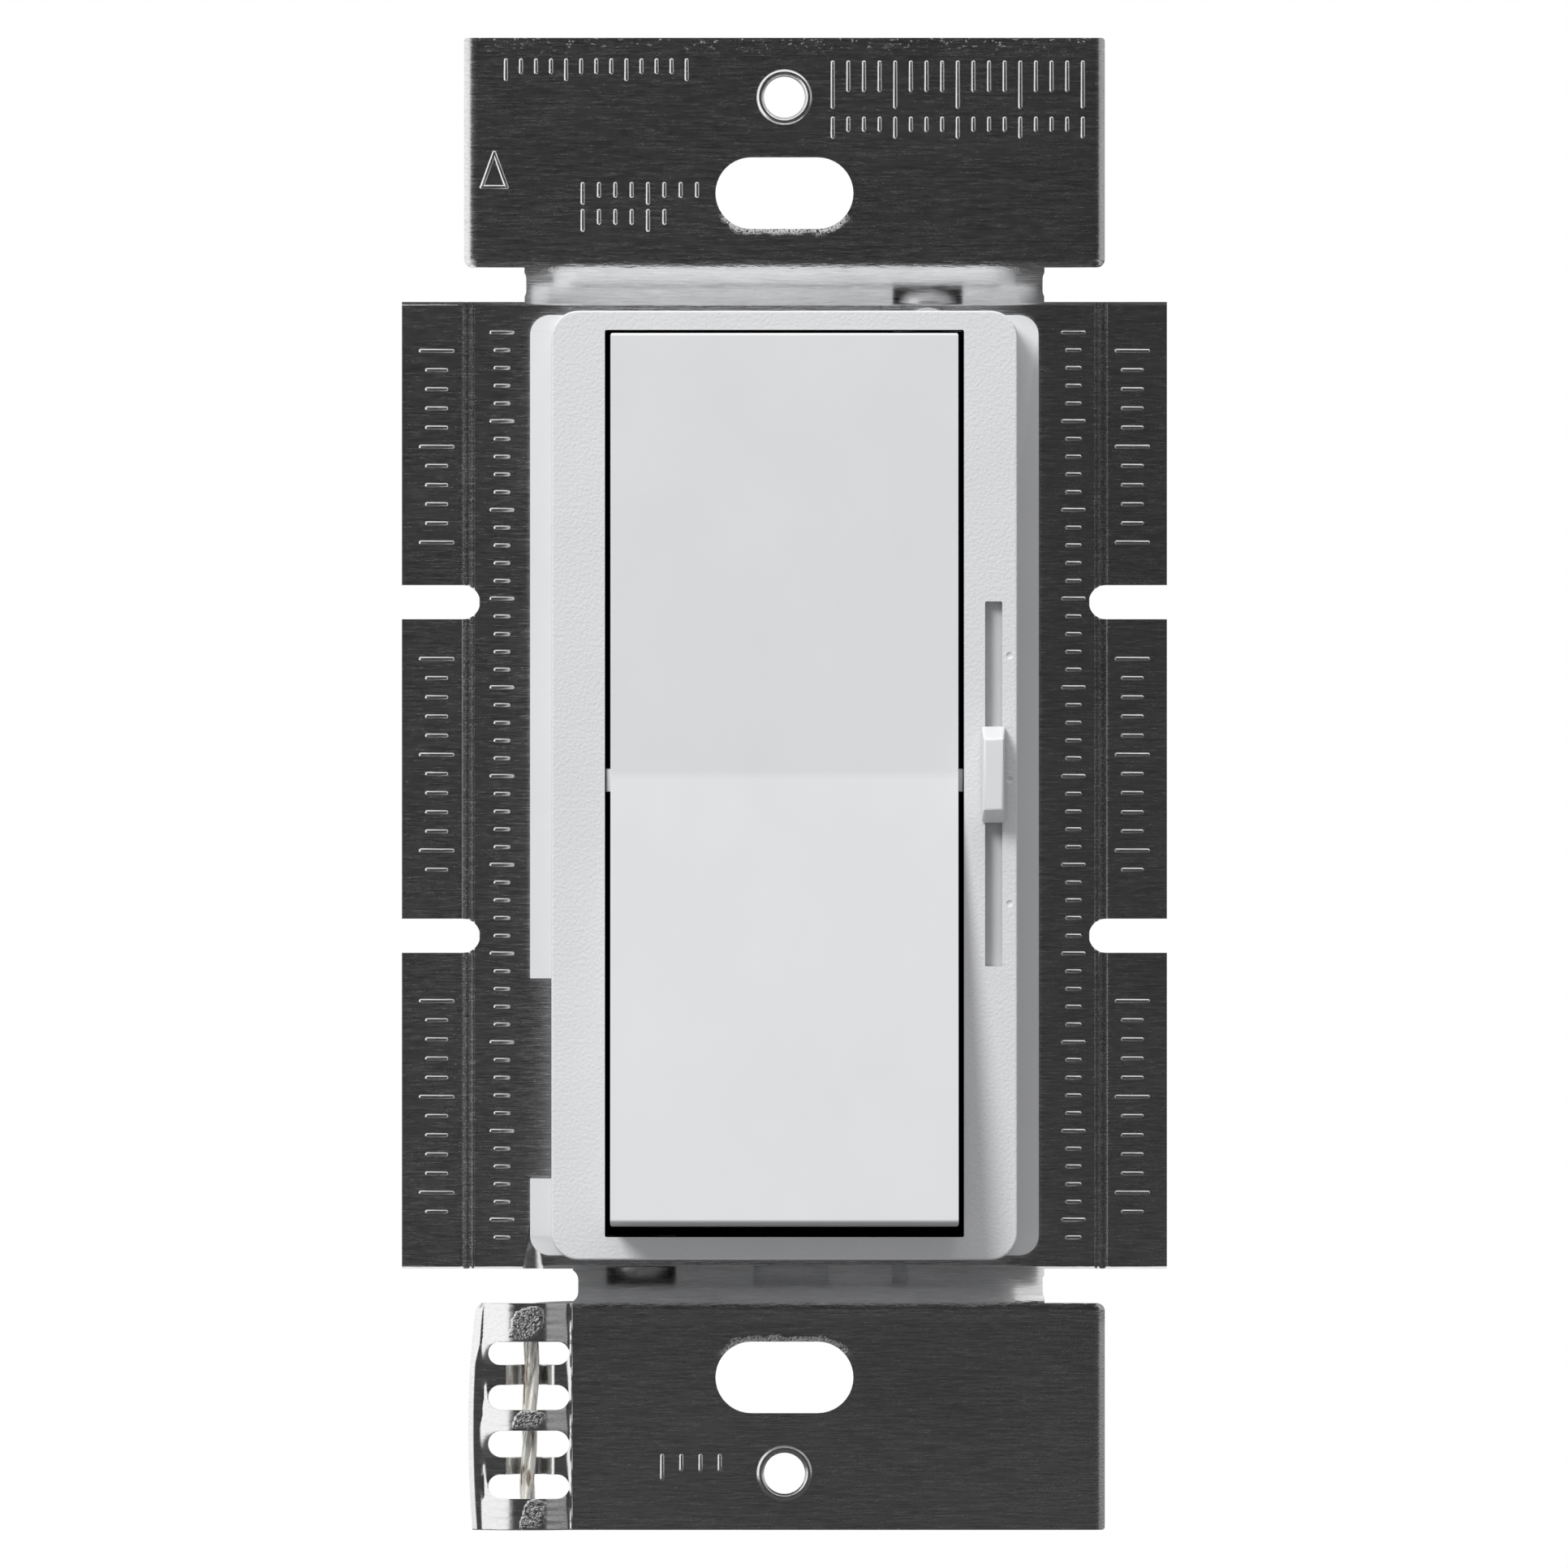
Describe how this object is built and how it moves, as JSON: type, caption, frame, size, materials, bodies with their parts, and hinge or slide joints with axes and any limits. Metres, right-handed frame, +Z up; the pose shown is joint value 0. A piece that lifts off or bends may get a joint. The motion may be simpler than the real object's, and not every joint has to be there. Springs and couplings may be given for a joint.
{
  "type": "fan speed control switch",
  "caption": "Decorator-style wall control for a ceiling fan: an on/off rocker paddle with a slide speed selector beside it, on a metal mounting strap with break-off fins.",
  "frame": {"origin": "middle between the two box-screw slots, and between the two wall-plate screw holes, on the back face of the strap's ears", "axes": "+Z up along the strap, +X to the right seen from the front, -Y out of the wall towards the user"},
  "size_m": [0.0538, 0.0452, 0.105],
  "materials": {
    "strap_aluminium": "satin",
    "rivet_aluminium": "polished",
    "frame_plastic": "satin",
    "bezel_plastic": "satin",
    "paddle_plastic": "satin",
    "knob_plastic": "satin",
    "housing_plastic": "matte",
    "screw_steel": "satin",
    "spring_steel": "polished",
    "nylon": "satin",
    "switch_plastic": "satin",
    "carriage_plastic": "satin",
    "phenolic": "satin",
    "contact_silver": "satin",
    "copper_alloy": "satin",
    "board_laminate": "satin",
    "tinned_copper": "satin",
    "capacitor_case": "gloss",
    "varistor_coat": "gloss",
    "resistor_coat": "gloss",
    "fibre_sheet": "matte",
    "lead_insulation": "satin"
  },
  "bodies": {
    "switch_body": {"mounting_strap": "strap_aluminium", "strap_rivets": "rivet_aluminium", "base_frame": "frame_plastic", "bezel": "bezel_plastic", "speed_switch_case": "switch_plastic", "speed_contact_base": "phenolic", "speed_contacts": "contact_silver", "speed_detent_spring": "spring_steel", "contact_pivot_pin": "spring_steel", "common_terminal": "copper_alloy", "fixed_contact": "contact_silver", "switched_terminal": "copper_alloy", "circuit_board": "board_laminate", "lead_terminals": "tinned_copper", "speed_capacitor_large": "capacitor_case", "speed_capacitor_small": "capacitor_case", "noise_capacitor": "capacitor_case", "surge_suppressor": "varistor_coat", "bleed_resistors": "resistor_coat", "insulator_sheet": "fibre_sheet", "back_housing": "housing_plastic", "housing_screws": "screw_steel", "ground_conductor": "tinned_copper", "ground_lead_coil": "lead_insulation", "ground_lead_tail": "lead_insulation"},
    "paddle_body": {"paddle": "paddle_plastic", "paddle_plunger": "nylon", "paddle_spring": "spring_steel"},
    "slider_body": {"speed_knob": "knob_plastic", "speed_shutter": "knob_plastic", "speed_carriage": "carriage_plastic", "speed_wiper": "copper_alloy"},
    "contact_body": {"contact_cradle": "carriage_plastic", "contact_arm": "copper_alloy", "moving_contact": "contact_silver"}
  },
  "joints": [
    {"name": "paddle_rock", "type": "hinge", "parent": "switch_body", "child": "paddle_body", "pos_m": [0, -0.003, 0.00035], "axis": [1, 0, 0], "range_deg": [0, 8]},
    {"name": "contact_tip", "type": "hinge", "parent": "switch_body", "child": "contact_body", "pos_m": [0, 0.0093, 0.00035], "axis": [1, 0, 0], "range_deg": [-12, 0]},
    {"name": "speed_slide", "type": "slide", "parent": "switch_body", "child": "slider_body", "axis": [0, 0, 1], "range_m": [-0.00905, 0.00835]}
  ],
  "couplings": [
    {"joint": "contact_tip", "follows": "paddle_rock", "ratio": -1.5}
  ]
}
